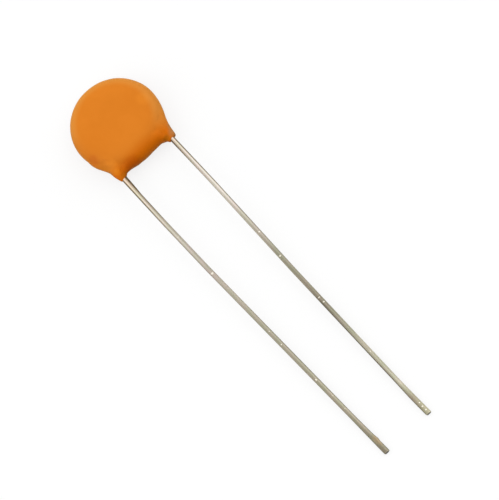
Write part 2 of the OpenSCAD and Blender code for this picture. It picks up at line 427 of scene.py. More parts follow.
def lead(name, side, face, mouth, lean, buried, turns):
    """One whole wire. `side` and `face` are 1 or -1, and `turns` are its slow bends outside."""
    inwards = Vector((-side, 0, 0))
    lean = math.radians(lean)
    outwards = Vector((-side * math.sin(lean), -math.cos(lean), 0))
    wire = start_wire(name, (*mouth, 0), -outwards)
    straight(wire, buried, 3)
    bend(wire, CLIMB_BEND, STEP_SLOPE, (0, 0, face), 6)
    straight(wire, CLIMB, 1)
    bend(wire, CLIMB_BEND, STEP_SLOPE, (0, 1, 0), 6)
    bend(wire, JOINT_BEND, JOINT_TURN, inwards, 6)
    straight(wire, JOINT, 6)

    wire["at"], wire["heading"] = Vector((*mouth, 0)), outwards
    select_near(wire, WIRE_R * 1.02)  # the whole of the round end, and nothing else
    for turn in turns:
        straight(wire, STRETCH, round(STRETCH / RING_STEP))
        if turn:
            bend(wire, SLOW_BEND, abs(turn), inwards if turn > 0 else -inwards, 2)
    rest = (REACH + wire["at"].y) / -wire["heading"].y
    straight(wire, rest, round(rest / RING_STEP))
    close_piece(wire["piece"])
    print(name, "ends at", [round(c, 3) for c in wire["at"]], "mm from the middle of the disc")
    return wire


front = lead("front_wire", -1, 1, FRONT_MOUTH, lean=-0.8, buried=1.708, turns=(0.8, 0.8, 0))
rear = lead("rear_wire", 1, -1, REAR_MOUTH, lean=0.3, buried=1.714, turns=(0.7, 0, -0.65))

# %% [markdown]
# The stretches are still long. Each one is cut into shorter rings with subdivide, which acts
# on the selected edges only: here those that run along the wire. The tips need the rings.
# Side cutters squeeze a wire wide and flat before they part it, and never quite evenly, so
# each tip is pushed into shape ring by ring, from a short table of its own.

# %% Cut the long stretches into rings
LONG_EDGE = 0.45  # longer than any edge around the wire or in its bends


def cut_into_rings(piece, cuts):
    select_only(piece)
    bpy.ops.object.mode_set(mode="EDIT")
    bpy.ops.mesh.select_mode(type="EDGE")
    bpy.ops.mesh.select_all(action="DESELECT")
    bpy.ops.object.mode_set(mode="OBJECT")
    points = piece.data.vertices
    for edge in piece.data.edges:
        a, b = (points[i].co for i in edge.vertices)
        edge.select = (a - b).length > LONG_EDGE * MM
    bpy.ops.object.mode_set(mode="EDIT")
    bpy.ops.mesh.subdivide(number_cuts=cuts)
    bpy.ops.mesh.select_mode(type="VERT")
    bpy.ops.object.mode_set(mode="OBJECT")
    print(piece.name, len(piece.data.polygons), "faces")


for wire in (front, rear):
    cut_into_rings(wire["piece"], 4)

# %% Squeeze the tips
# every entry: distance back from the tip, how far the left and the right side are pushed out,
# and the share of the thickness that is left
FRONT_TIP = [
    (0.00, 0.00, 0.05, 0.66), (0.15, 0.03, 0.08, 0.80), (1.35, 0.04, 0.08, 0.84),
    (1.60, 0.03, 0.06, 0.85), (2.10, 0.03, 0.13, 0.87), (2.60, 0.02, 0.07, 0.90),
    (3.20, 0.02, 0.04, 0.93), (6.00, 0.00, 0.00, 1.00),
]
REAR_TIP = [
    (0.00, -0.10, 0.10, 0.66), (0.15, -0.03, 0.13, 0.80), (0.60, -0.02, 0.11, 0.84),
    (1.50, 0.00, 0.09, 0.87), (3.30, 0.03, 0.04, 0.93), (6.00, 0.00, 0.00, 1.00),
]


def read_table(table, distance):
    """The values of a table at a distance, read between the entries on either side of it."""
    for (near, *values), (far, *next_values) in zip(table, table[1:]):
        if distance <= far:
            share = max(0.0, (distance - near) / (far - near))
            return [a + (b - a) * share for a, b in zip(values, next_values)]
    return table[-1][1:]


def squeeze_tip(wire, table):
    piece, tip, heading = wire["piece"], at(wire["at"]), wire["heading"]
    select_only(piece)
    rings = {}
    for vertex in piece.data.vertices:
        back = (tip - vertex.co).dot(heading) / MM
        if back < table[-1][0]:
            rings.setdefault(round(back, 2), []).append(vertex.index)
    for back, members in sorted(rings.items()):
        left, right, thick = read_table(table, back)
        bpy.ops.object.mode_set(mode="EDIT")
        bpy.ops.mesh.select_all(action="DESELECT")
        bpy.ops.object.mode_set(mode="OBJECT")
        for index in members:
            piece.data.vertices[index].select = True
        bpy.ops.object.mode_set(mode="EDIT")
        wide = 1 + (left + right) / (2 * WIRE_R)
        bpy.ops.transform.resize(value=(wide, 1, thick), center_override=tip - heading * back * MM)
        bpy.ops.transform.translate(value=((right - left) / 2 * MM, 0, 0))
        bpy.ops.object.mode_set(mode="OBJECT")
    print(piece.name, "tip squeezed in", len(rings), "rings")


squeeze_tip(front, FRONT_TIP)
squeeze_tip(rear, REAR_TIP)

# %% [markdown]
# The sides of each wire are darkened by painted shade, which stands in for the dark room that a
# bright wire mirrors there, and one lit line along the top is left clear. How dark the sides are
# changes along the wire. The painted shade follows the wire's surface, so it is stored on the
# mesh: an attribute holds how much of it each vertex carries.

# %% Painted shade on the sides of the wires
# every entry: distance from the middle of the disc, how far the one lit line along the top
# leans to the right, then the painted shade on the left edge, left flank, right flank and right edge
FRONT_PAINTED_SHADE = [
    (6.5, -0.15, 1.00, 1.00, 0.90, 1.00),
    (10.5, -0.15, 1.00, 0.90, 0.95, 0.90),
    (15.0, -0.10, 0.70, 0.80, 0.80, 0.60),
    (20.0, 0.00, 0.55, 0.55, 0.65, 0.35),
    (26.0, 0.05, 0.35, 0.50, 0.35, 0.15),
    (36.0, 0.20, 0.35, 0.60, 0.40, 0.60),
    (51.0, 0.25, 0.55, 0.60, 0.20, 0.45),
]
REAR_PAINTED_SHADE = [
    (6.5, 0.15, 1.00, 0.95, 0.95, 1.00),
    (10.5, 0.15, 0.65, 0.90, 0.85, 1.00),
    (20.0, 0.15, 0.30, 0.65, 0.55, 0.80),
    (25.0, 0.15, 0.10, 0.55, 0.40, 0.40),
    (32.0, 0.15, 0.00, 0.45, 0.30, 0.00),
    (35.0, 0.15, 0.75, 0.80, 0.70, 0.20),
    (42.0, 0.15, 0.90, 0.50, 0.50, 0.00),
    (47.0, 0.15, 1.00, 0.70, 0.65, 0.20),
    (51.0, 0.15, 0.75, 0.65, 0.40, 0.15),
]
EDGE, FLANK = 0.85, 0.56  # how far the surface leans sideways there: 0 on top, 1 at the side


# stores painted shade on the sides of a wire, by how far its surface leans sideways
def store_painted_side_shade(piece, table):
    painted_side_shade = piece.data.attributes.new("painted_side_shade", "FLOAT", "POINT")
    for vertex, value in zip(piece.data.vertices, painted_side_shade.data):
        lit_line, left_edge, left, right, right_edge = read_table(table, (MIDDLE.y - vertex.co.y) / MM)
        lean = max(-EDGE, min(EDGE, vertex.normal.x))
        across = [(-EDGE, left_edge), (-FLANK, left), (lit_line, 0.0), (FLANK, right), (EDGE, right_edge)]
        for (low, from_shade), (high, to_shade) in zip(across, across[1:]):
            if lean <= high:
                share = (lean - low) / (high - low)
                eased = share * share * (3 - 2 * share)  # starts and ends gently
                value.value = from_shade + (to_shade - from_shade) * eased
                break
    print(piece.name, "film up to", round(max(v.value for v in painted_side_shade.data), 2))


store_painted_side_shade(front["piece"], FRONT_PAINTED_SHADE)
store_painted_side_shade(rear["piece"], REAR_PAINTED_SHADE)

# %% [markdown]
# Hot tin leaves small beads on a wire. Each bead is a ball sunk so deep in the wire that only
# a low cap of it shows. It is joined to its wire, and has a finish of its own: tin painted
# brighter than the wire, partly a painted highlight, so that each bead shows as a glint.

# %% Beads of tin
# every bead: its distance along the wire from the coat, its offset to the side, the radius of
# its cap, and its length over its width
FRONT_BEADS = [
    (10.3, 0.01, 0.07, 1.0), (16.7, -0.01, 0.10, 1.3), (27.1, 0.02, 0.055, 1.5),
    (29.4, -0.04, 0.065, 1.3), (35.7, -0.01, 0.07, 2.2), (38.6, 0.02, 0.05, 1.6),
    (40.9, 0.05, 0.05, 1.4), (48.1, 0.10, 0.05, 1.0),
]
REAR_BEADS = [
    (16.5, 0.04, 0.08, 1.2), (20.6, -0.03, 0.09, 1.4), (27.9, -0.01, 0.09, 1.0),
    (28.7, 0.03, 0.09, 1.2), (37.4, 0.05, 0.06, 2.4), (46.4, 0.08, 0.07, 1.2),
    (47.0, 0.04, 0.09, 1.2), (47.6, 0.04, 0.08, 1.3),
]
CAP_HEIGHT = 0.03
ALONG_Y = 0.9999  # the wires lean a little, so a length along them is a little less along y
NEAR_RING = 0.12  # takes in the nearest ring or two, as they are 0.15 mm apart


def top_of_wire(wire, mouth, along):
    """The top of the wire at a distance from the coat, found from the rings of its mesh."""
    y = (MIDDLE.y / MM) + mouth[1] - along * ALONG_Y
    ring = [v.co for v in wire["piece"].data.vertices if abs(v.co.y / MM - y) < NEAR_RING]
    middle = sum(ring, Vector()) / len(ring)
    return Vector((middle.x, y * MM, max(v.z for v in ring)))


def add_beads(wire, mouth, beads):
    caps = []
    for along, offset, cap, stretch in beads:
        top = top_of_wire(wire, mouth, along)
        radius = (cap * cap + CAP_HEIGHT * CAP_HEIGHT) / (2 * CAP_HEIGHT)  # of the whole ball
        fall = WIRE_R * (1 - math.cos(math.asin(offset / WIRE_R)))  # how far the round side drops
        deselect_all()
        bpy.ops.mesh.primitive_uv_sphere_add(
            segments=24, ring_count=16, radius=radius * MM,
            location=top + Vector((offset, 0, CAP_HEIGHT - fall - radius)) * MM,
        )
        bpy.context.active_object.scale.y = stretch
        caps.append(apply_place("bead"))
    return caps


front_caps = add_beads(front, FRONT_MOUTH, FRONT_BEADS)
rear_caps = add_beads(rear, REAR_MOUTH, REAR_BEADS)
print(len(front_caps), "beads in front,", len(rear_caps), "at the rear")

# %% [markdown]
# Beside the front wire, next to the coat, lies a thin dark brown smear: partly resin that ran
# down the wire, partly painted shade and painted reflection of the coat on the wire's flank. It
# is one long, slim egg, sunk in the flank of the wire.

# %% The smear of painted shade beside the front wire
SMEAR_ALONG, SMEAR_SIDE = 0.5, 0.29  # its middle, from the coat and from the wire's own middle
SMEAR_HALF = (0.13, 3.0, 0.22)  # half width, half length, half height
SMEAR_TURN = math.radians(-2.2)  # its far end sinks into the wire

deselect_all()
beside = top_of_wire(front, FRONT_MOUTH, SMEAR_ALONG)
bpy.ops.mesh.primitive_uv_sphere_add(
    segments=24, ring_count=24, radius=MM, rotation=(math.pi / 2, 0, 0),
    location=(beside.x + SMEAR_SIDE * MM, beside.y, MIDDLE.z),
)
shade_smear = bpy.context.active_object
bpy.ops.object.transform_apply(location=False, rotation=True, scale=False)
shade_smear.scale = SMEAR_HALF
bpy.ops.object.transform_apply(location=False, rotation=False, scale=True)
shade_smear.rotation_euler.z = SMEAR_TURN
shade_smear = apply_place("shade_smear")
print("smear:", len(shade_smear.data.polygons), "faces")

# %% [markdown]
# ## Finishes
#
# Each finish is built from nodes, with no pictures. Three effects are shared between them, so
# they are node groups: `mottle` mixes two tones in patches, `skin_grain` gives the height of a
# fine, uneven surface, and `soft_spot` is a mask that is white at one place and fades around
# it. A group only puts out colours, masks and heights. Numbers that are the same all over a
# piece are set on its own shader.
#
# Nodes are many and small, so a few helpers come first. Each one places a single node, feeds
# its inputs and gives its result, and so a chain of nodes reads like a sum.

# %% Place nodes and feed them
WHITE = (1, 1, 1, 1)


def add_node(tree, kind, **settings):
    node = tree.nodes.new(kind)
    for key, value in settings.items():
        setattr(node, key, value)
    return node


def feed(tree, socket, value):
    """Feeds a socket from another node's output, or sets it to a plain value."""
    if isinstance(value, bpy.types.NodeSocket):
        tree.links.new(value, socket)
    else:
        socket.default_value = value


def add_math(tree, operation, *values):
    """Places one sum, and gives its result."""
    node = add_node(tree, "ShaderNodeMath", operation=operation)
    for socket, value in zip(node.inputs, values):
        feed(tree, socket, value)
    return node.outputs["Value"]


def add_vector_math(tree, operation, *values):
    """The same for vectors. A length, a distance or a dot product comes out as a number."""
    node = add_node(tree, "ShaderNodeVectorMath", operation=operation)
    for socket, value in zip(node.inputs, values):
        feed(tree, socket, value)
    return node.outputs["Value" if operation in ("LENGTH", "DISTANCE", "DOT_PRODUCT") else "Vector"]


def add_noise(tree, place, scale, detail=2.0, roughness=0.5):
    """Places a cloudy noise, and gives its value between 0 and 1."""
    node = add_node(tree, "ShaderNodeTexNoise")
    for label, value in {"Vector": place, "Scale": scale, "Detail": detail, "Roughness": roughness}.items():
        feed(tree, node.inputs[label], value)
    return node.outputs["Fac"]


def add_range(tree, source, low, high, to_low=0.0, to_high=1.0):
    """Turns a value between low and high smoothly into one between to_low and to_high."""
    node = add_node(tree, "ShaderNodeMapRange", interpolation_type="SMOOTHSTEP")
    feed(tree, node.inputs["Value"], source)
    for label, value in (("From Min", low), ("From Max", high), ("To Min", to_low), ("To Max", to_high)):
        node.inputs[label].default_value = value
    return node.outputs["Result"]


def lay_over(tree, under, over, share, blend_type="MIX"):
    """Lays one colour over another, by a share from 0 to 1, and gives the result."""
    node = add_node(tree, "ShaderNodeMix", data_type="RGBA", blend_type=blend_type)
    for label, value in (("Factor", share), ("A", under), ("B", over)):
        feed(tree, node.inputs[label], value)
    return node.outputs["Result"]


def new_group(name, inputs, outputs):
    """An empty shader node group. Each input is a name, a kind of socket and a start value."""
    group = bpy.data.node_groups.new(name, "ShaderNodeTree")
    for label, kind, start in inputs:
        socket = group.interface.new_socket(label, in_out="INPUT", socket_type=kind)
        socket.default_value = start
    for label, kind in outputs:
        group.interface.new_socket(label, in_out="OUTPUT", socket_type=kind)
    return group, add_node(group, "NodeGroupInput").outputs, add_node(group, "NodeGroupOutput").inputs


print("node helpers ready")

# %% A shared group: patches of two tones
mottle, given, put_out = new_group(
    "mottle",
    [("Place", "NodeSocketVector", (0, 0, 0)), ("Tone", "NodeSocketColor", WHITE),
     ("Other Tone", "NodeSocketColor", WHITE), ("Patches per mm", "NodeSocketFloat", 1.0),
     ("Amount", "NodeSocketFloat", 0.5)],
    [("Color", "NodeSocketColor"), ("Mask", "NodeSocketFloat")],
)
per_metre = add_math(mottle, "MULTIPLY", given["Patches per mm"], 1 / MM)
clouds = add_noise(mottle, given["Place"], per_metre, detail=3, roughness=0.55)
patches = add_range(mottle, clouds, 0.35, 0.65)
share = add_math(mottle, "MULTIPLY", patches, given["Amount"])
feed(mottle, put_out["Color"], lay_over(mottle, given["Tone"], given["Other Tone"], share))
feed(mottle, put_out["Mask"], patches)
print("group:", mottle.name)

# %% A shared group: the height of a fine, uneven surface
skin_grain, given, put_out = new_group(
    "skin_grain",
    [("Place", "NodeSocketVector", (0, 0, 0)), ("Grains per mm", "NodeSocketFloat", 8.0),
     ("Pits", "NodeSocketFloat", 0.3)],
    [("Height", "NodeSocketFloat")],
)
per_metre = add_math(skin_grain, "MULTIPLY", given["Grains per mm"], 1 / MM)
grains = add_noise(skin_grain, given["Place"], per_metre, detail=4)
cells = add_node(skin_grain, "ShaderNodeTexVoronoi", feature="F1")
feed(skin_grain, cells.inputs["Vector"], given["Place"])
feed(skin_grain, cells.inputs["Scale"], per_metre)
pits = add_range(skin_grain, cells.outputs["Distance"], 0.05, 0.30)
pit_height = add_math(skin_grain, "MULTIPLY", pits, given["Pits"])
feed(skin_grain, put_out["Height"], add_math(skin_grain, "ADD", grains, pit_height))
print("group:", skin_grain.name)

# %% A shared group: one soft spot
soft_spot, given, put_out = new_group(
    "soft_spot",
    [("Place", "NodeSocketVector", (0, 0, 0)), ("Middle", "NodeSocketVector", (0, 0, 0)),
     ("Radius", "NodeSocketFloat", MM), ("Ragged", "NodeSocketFloat", 0.3)],
    [("Mask", "NodeSocketFloat")],
)
distance = add_vector_math(soft_spot, "DISTANCE", given["Place"], given["Middle"])
radii = add_math(soft_spot, "DIVIDE", distance, given["Radius"])
finer = add_math(soft_spot, "DIVIDE", 1.5, given["Radius"])
uneven = add_noise(soft_spot, given["Place"], finer)
ragged_radii = add_math(soft_spot, "MULTIPLY_ADD", uneven, given["Ragged"], radii)
feed(soft_spot, put_out["Mask"], add_range(soft_spot, ragged_radii, 1.2, 0.5))
print("group:", soft_spot.name)


# %% Start a finish, and give it its grain
def start_finish(name):
    """A material with its place on the piece, its shader and a bump, ready to be joined up."""
    material = bpy.data.materials.new(name)
    material.use_nodes = True
    tree = material.node_tree
    place = add_node(tree, "ShaderNodeTexCoord").outputs["Object"]
    shader = tree.nodes["Principled BSDF"]
    bump = add_node(tree, "ShaderNodeBump")
    feed(tree, shader.inputs["Normal"], bump.outputs["Normal"])
    return material, tree, place, shader, bump


def place_group(tree, group, place, **values):
    """Places a shared group and sets its inputs. An underscore stands for a space."""
    node = add_node(tree, "ShaderNodeGroup", node_tree=group)
    feed(tree, node.inputs["Place"], place)
    for label, value in values.items():
        node.inputs[label.replace("_", " ")].default_value = value
    return node.outputs


def add_grain(tree, place, bump, grains, pits, strength, depth):
    """Gives a finish its fine surface. `grains` is their number per mm, and `depth` is in mm."""
    grain = place_group(tree, skin_grain, place, Grains_per_mm=grains, Pits=pits)
    feed(tree, bump.inputs["Height"], grain["Height"])
    bump.inputs["Strength"].default_value = strength
    bump.inputs["Distance"].default_value = depth * MM


# %% [markdown]
# The coat is a cured epoxy or phenolic resin, filled with so much orange pigment that it hardly
# lets light in. It is satin rather than glossy, and its fine powder scatters light that grazes
# the rim, which the shader's sheen does. Its tone is painted darker around the wires, as
# painted shade where the web and the near rim turn from the light, and paler around the rim
# on the side away from them, as a painted sheen.

# %% Orange resin: its tone, with painted shade and painted sheen
# painted shade around the wires, on the web and the near rim
PAINTED_SHADE_TONE = (0.685, 0.152, 0.0006, 1)
# painted sheen on the rim away from the wires
PAINTED_SHEEN_TONE = (0.755, 0.260, 0.033, 1)
AWAY_FROM_WEB = (0.5, 0.87, 0)
# each fades in between two distances from the middle of the disc
SHADE_FROM, SHADE_BY = 3.6, 5.4  # towards the wires
SHEEN_FROM, SHEEN_BY = 4.3, 5.2  # outwards
AWAY_FROM, AWAY_BY = -2.6, 0.6  # away from the web

orange_resin, tree, place, shader, bump = start_finish("orange_resin")
tones = place_group(
    tree, mottle, place, Tone=(0.736, 0.2150, 0.0160, 1), Other_Tone=(0.716, 0.2050, 0.0140, 1),
    Patches_per_mm=0.35, Amount=1.0,
)
where = add_node(tree, "ShaderNodeSeparateXYZ")
feed(tree, where.inputs["Vector"], place)
# painted shade: fades in towards the wires
painted_shade = add_range(tree, where.outputs["Y"], MIDDLE.y - SHADE_FROM * MM, MIDDLE.y - SHADE_BY * MM)
tone = lay_over(tree, tones["Color"], PAINTED_SHADE_TONE, painted_shade)

centred = add_vector_math(tree, "SUBTRACT", place, MIDDLE)
flat = add_vector_math(tree, "MULTIPLY", centred, (1, 1, 0))
# painted sheen: fades in towards the rim, on the side away from the web
painted_sheen_rim = add_range(tree, add_vector_math(tree, "LENGTH", flat), SHEEN_FROM * MM, SHEEN_BY * MM)
away_from_web = add_vector_math(tree, "DOT_PRODUCT", centred, AWAY_FROM_WEB)
far_side = add_range(tree, away_from_web, AWAY_FROM * MM, AWAY_BY * MM)
tone = lay_over(tree, tone, PAINTED_SHEEN_TONE, add_math(tree, "MULTIPLY", painted_sheen_rim, far_side))
print("tones by thickness:", len(tree.nodes), "nodes")

# %% [markdown]
# Soft spots are laid on one by one: painted shade where the web and the tips of the tents lie
# in shade, painted highlight on both shoulders and on the ridge of the front tent, a darker,
# pinker spot on the left of the rim, and thin resin on the outer flanks of the tents, where the
# grey of the wire shows through.

# %% Orange resin: its soft spots, mostly painted shade and painted highlight
# every spot: its place from the middle of the disc, its radius, how its tone is laid on
RESIN_SPOTS_AND_PAINTED_LIGHT = [
    # painted shade on either side of the web, where it lies in shade
    ((-1.9, -5.4, 0.3), 1.6, "MULTIPLY", (0.84, 0.70, 0.40, 1)),
    ((2.8, -5.2, 0.2), 1.0, "MULTIPLY", (0.90, 0.88, 0.60, 1)),
    # darker and pinker on the left of the rim
    ((-5.05, -1.75, 1.0), 1.0, "MULTIPLY", (0.95, 0.83, 0.90, 1)),
    # painted highlight on both shoulders, and on the ridge of the front tent
    ((-4.0, -4.0, 0.9), 1.2, "MULTIPLY", (1.10, 1.14, 1.20, 1)),
    ((4.3, -0.4, 1.4), 1.1, "MULTIPLY", (1.06, 1.11, 1.20, 1)),
    ((-3.85, -4.75, 0.5), 0.6, "MULTIPLY", (1.10, 1.25, 1.60, 1)),
    # painted shade at the tips of the tents
    ((-3.7, -5.5, 0.1), 0.75, "MULTIPLY", (0.80, 0.90, 1.00, 1)),
    ((-3.2, -5.5, 0.0), 0.5, "MULTIPLY", (0.82, 0.88, 1.00, 1)),
    ((3.15, -5.8, 0.35), 0.6, "MULTIPLY", (0.72, 0.84, 0.95, 1)),
    # so thin on the outer flanks of the tents that the grey of the wire shows through
    ((-4.75, -4.2, 0.0), 0.75, "MIX", (0.60, 0.205, 0.036, 1)),
    ((4.45, -4.95, 0.0), 0.75, "MIX", (0.53, 0.200, 0.050, 1)),
    ((4.25, -5.75, 0.1), 0.95, "MIX", (0.51, 0.195, 0.052, 1)),
]
# each spot lays painted shade, painted highlight or a tone of the resin itself over the coat
for spot_place, radius, blend_type, spot_tone in RESIN_SPOTS_AND_PAINTED_LIGHT:
    spot = place_group(tree, soft_spot, place, Middle=at(spot_place), Radius=radius * MM)
    tone = lay_over(tree, tone, spot_tone, spot["Mask"], blend_type)
feed(tree, shader.inputs["Base Color"], tone)
print(len(RESIN_SPOTS_AND_PAINTED_LIGHT), "soft spots")

# %% Orange resin: its surface
rough = place_group(tree, mottle, place, Patches_per_mm=1.2)
feed(tree, shader.inputs["Roughness"], add_range(tree, rough["Mask"], 0, 1, 0.43, 0.50))
add_grain(tree, place, bump, grains=3.0, pits=0.15, strength=0.10, depth=0.02)
shader.inputs["Specular IOR Level"].default_value = 0.05
shader.inputs["Sheen Weight"].default_value = 0.5
shader.inputs["Sheen Roughness"].default_value = 0.4
shader.inputs["Sheen Tint"].default_value = (1.0, 0.79, 0.22, 1)
print("finish:", orange_resin.name)

# %% [markdown]
# The wires are copper-clad steel with a skin of tin. A ramp along the wire holds its tones:
# partly the tin's own, greyer where it was handled and has aged, and partly painted reflection,
# bright and warm beside the coat, where the wire mirrors the lamps and the orange coat. The
# stored painted shade darkens the sides, and long faint streaks come from a pattern stretched
# along the wire. At the front tip the cutters scraped the tin off, and a little copper shows.

# %% Tinned wire: the ramp along it, its own tone and painted reflection
def tone_and_reflection_along(tree, y, tones):
    """A ramp of tones, partly painted reflection, each one a distance from the middle of the disc and a
    colour.
    """
    along = add_node(tree, "ShaderNodeMapRange")
    feed(tree, along.inputs["Value"], y)
    along.inputs["From Min"].default_value = MIDDLE.y
    along.inputs["From Max"].default_value = MIDDLE.y - REACH * MM
    ramp = add_node(tree, "ShaderNodeValToRGB")
    feed(tree, ramp.inputs["Fac"], along.outputs["Result"])
    stops = ramp.color_ramp.elements
    while len(stops) < len(tones):
        stops.new(0.5)
    for stop, (distance, tone) in zip(stops, tones):
        stop.position = distance / REACH
        stop.color = (*tone, 1)
    return ramp.outputs["Color"]


# %% Tinned wire: the whole finish
# painted shade: the dark tone laid over the sides of the wires
PAINTED_SIDE_SHADE_TONE = (0.15, 0.13, 0.09, 1)
COPPER_TONE = (0.335, 0.265, 0.165, 1)
SCRAPE_R = 0.40
SHINY_TO, DULL_FROM = 10, 24  # distances from the middle of the disc
SHINY_ROUGHNESS, DULL_ROUGHNESS = 0.22, 0.46
STREAKS = Vector((1, 0.35, 1))  # squeezes the pattern's place, and so draws it out along the wire


def tinned_finish(name, tones, scraped_at=None):
    """Tinned wire. `scraped_at` is where the cutters scraped the tin off, down to the copper."""
    material, tree, place, shader, bump = start_finish(name)
    where = add_node(tree, "ShaderNodeSeparateXYZ")
    feed(tree, where.inputs["Vector"], place)
    mapping = add_node(tree, "ShaderNodeMapping")
    feed(tree, mapping.inputs["Vector"], place)
    mapping.inputs["Scale"].default_value = STREAKS
    streaked = mapping.outputs["Vector"]
    patches = place_group(
        tree, mottle, streaked, Tone=(1.04, 0.98, 0.97, 1), Other_Tone=(0.94, 0.97, 0.88, 1),
        Patches_per_mm=1.6, Amount=1.0,
    )
    # the stored painted shade darkens the sides, where a real wire mirrors the dark room
    painted_side_shade = add_node(tree, "ShaderNodeAttribute", attribute_name="painted_side_shade")
    tone = tone_and_reflection_along(tree, where.outputs["Y"], tones)
    tone = lay_over(tree, tone, patches["Color"], 1.0, "MULTIPLY")
    tone = lay_over(tree, tone, PAINTED_SIDE_SHADE_TONE, painted_side_shade.outputs["Fac"], "MULTIPLY")
    if scraped_at:
        middle = at(scraped_at) * STREAKS
        scrape = place_group(tree, soft_spot, streaked, Middle=middle, Radius=SCRAPE_R * MM)
        tone = lay_over(tree, tone, COPPER_TONE, scrape["Mask"])
    feed(tree, shader.inputs["Base Color"], tone)
    dulled = add_range(
        tree, where.outputs["Y"], MIDDLE.y - SHINY_TO * MM, MIDDLE.y - DULL_FROM * MM,
        SHINY_ROUGHNESS, DULL_ROUGHNESS,
    )
    feed(tree, shader.inputs["Roughness"], dulled)
    add_grain(tree, streaked, bump, grains=9.0, pits=0.3, strength=0.12, depth=0.02)
    shader.inputs["Metallic"].default_value = 1.0
    print("finish:", name)
    return material


# tones along the wire: the tin's own, with painted reflection that is bright and warm beside the coat
front_tin = tinned_finish("front_tin", [
    (6.5, (0.95, 0.80, 0.65)), (10, (0.85, 0.79, 0.68)), (16, (0.71, 0.66, 0.60)),
    (22, (0.53, 0.48, 0.43)), (30, (0.44, 0.42, 0.34)), (47, (0.45, 0.42, 0.33)),
    (54, (0.29, 0.27, 0.20)),
], scraped_at=(-3.40, -52.45, 0.25))
rear_tin = tinned_finish("rear_tin", [
    (6.5, (0.95, 0.82, 0.71)), (10, (0.92, 0.86, 0.80)), (15, (0.88, 0.83, 0.78)),
    (20, (0.63, 0.58, 0.52)), (26, (0.38, 0.36, 0.29)), (32, (0.31, 0.28, 0.22)),
    (40, (0.44, 0.42, 0.34)), (49, (0.62, 0.60, 0.49)), (51.5, (0.43, 0.39, 0.30)),
    (54, (0.50, 0.48, 0.35)),
])

# %% [markdown]
# The other finishes are all of one kind, mottled in two tones with a fine grain, so one
# function makes them. The cut ends are bare metal, painted dark as painted shade on the end
# faces. The smear is dark brown: partly resin, partly painted shade. The beads are tin that
# froze bright, painted brighter still so that they show as glints, a painted highlight.
#
# Under the coat nothing shows, but whoever cuts the part open should find it finished: grey
# brown ceramic with a fine grain, silver fired on matt and slightly streaky, and solder that
# froze with a bright, rippled skin.

# %% The other finishes
def mottled_finish(name, tones, patches, roughness, grain, metallic=0.0, specular=0.5):
    """`patches` is their number per mm. `roughness` is one value, or two for a patchy surface.
    `grain` is the number of grains per mm, the share of pits, the strength and the depth."""
    material, tree, place, shader, bump = start_finish(name)
    tone, other_tone = tones
    mottled = place_group(
        tree, mottle, place, Tone=(*tone, 1), Other_Tone=(*other_tone, 1),
        Patches_per_mm=patches, Amount=1.0,
    )
    feed(tree, shader.inputs["Base Color"], mottled["Color"])
    if isinstance(roughness, tuple):
        roughness = add_range(tree, mottled["Mask"], 0, 1, *roughness)
    feed(tree, shader.inputs["Roughness"], roughness)
    add_grain(tree, place, bump, *grain)
    shader.inputs["Metallic"].default_value = metallic
    shader.inputs["Specular IOR Level"].default_value = specular
    print("finish:", name)
    return material


# painted shade: the cut ends are painted nearly black, for the shade on their end faces
shaded_cut_end = mottled_finish(
    "shaded_cut_end", [(0.06, 0.052, 0.04), (0.10, 0.085, 0.065)], patches=5.0,
    roughness=0.4, grain=(20, 0.2, 0.2, 0.01), metallic=1.0,
)
# dark brown: partly resin, partly painted shade on the wire's flank beside the coat
painted_shade_smear = mottled_finish(
    "painted_shade_smear", [(0.13, 0.10, 0.055), (0.18, 0.13, 0.06)], patches=2.0,
    roughness=0.45, grain=(8, 0.2, 0.1, 0.01), specular=0.2,
)
# partly painted highlight: the beads are painted brighter than the wire so they show as glints
bead_tin_and_glint = mottled_finish(
    "bead_tin_and_glint", [(0.80, 0.76, 0.67), (0.64, 0.60, 0.50)], patches=0.3,
    roughness=0.25, grain=(14, 0.1, 0.05, 0.01), metallic=1.0,
)
fired_ceramic = mottled_finish(
    "fired_ceramic", [(0.30, 0.24, 0.17), (0.24, 0.19, 0.13)], patches=2.5,
    roughness=(0.62, 0.75), grain=(16, 0.5, 0.3, 0.02),
)
fired_silver = mottled_finish(
    "fired_silver", [(0.80, 0.77, 0.70), (0.70, 0.66, 0.58)], patches=1.4,
    roughness=(0.38, 0.55), grain=(20, 0.2, 0.2, 0.02), metallic=1.0,
)
soft_solder = mottled_finish(
    "soft_solder", [(0.62, 0.62, 0.60), (0.50, 0.50, 0.49)], patches=3.0,
    roughness=(0.22, 0.40), grain=(4, 0.4, 0.4, 0.02), metallic=1.0,
)

# %% [markdown]
# Each mesh now gets its finish. A wire has two: its own, and that of its cut end, whose faces are
# picked by their direction and their place. The five pieces under the coat keep the shapes of
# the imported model, and only their material changes.

# %% Give each piece its finish
FACES_THE_TIP = 0.9  # how closely a face of the cut end looks along the wire: 1 is straight


def dress(piece, material):
    piece.data.materials.clear()
    piece.data.materials.append(material)


dress(resin, orange_resin)
for wire, tin in ((front, front_tin), (rear, rear_tin)):
    dress(wire["piece"], tin)
    wire["piece"].data.materials.append(shaded_cut_end)
    for face in wire["piece"].data.polygons:
        at_the_tip = (at(wire["at"]) - face.center).length < MM
        if at_the_tip and face.normal.dot(wire["heading"]) > FACES_THE_TIP:
            face.material_index = 1
for cap in front_caps + rear_caps:
    dress(cap, bead_tin_and_glint)
dress(shade_smear, painted_shade_smear)
for name, finish in (
    ("ceramic_disc", fired_ceramic),
    ("front_electrode", fired_silver),
    ("rear_electrode", fired_silver),
    ("front_solder", soft_solder),
    ("rear_solder", soft_solder),
):
    dress(nodes[name], finish)
    print(name, "is now", finish.name)

# %% [markdown]
# The beads and the smear are part of the wire's surface, so each one is joined to its wire and
# keeps its own finish. Smoothing by angle leaves the edge of the cut end sharp.

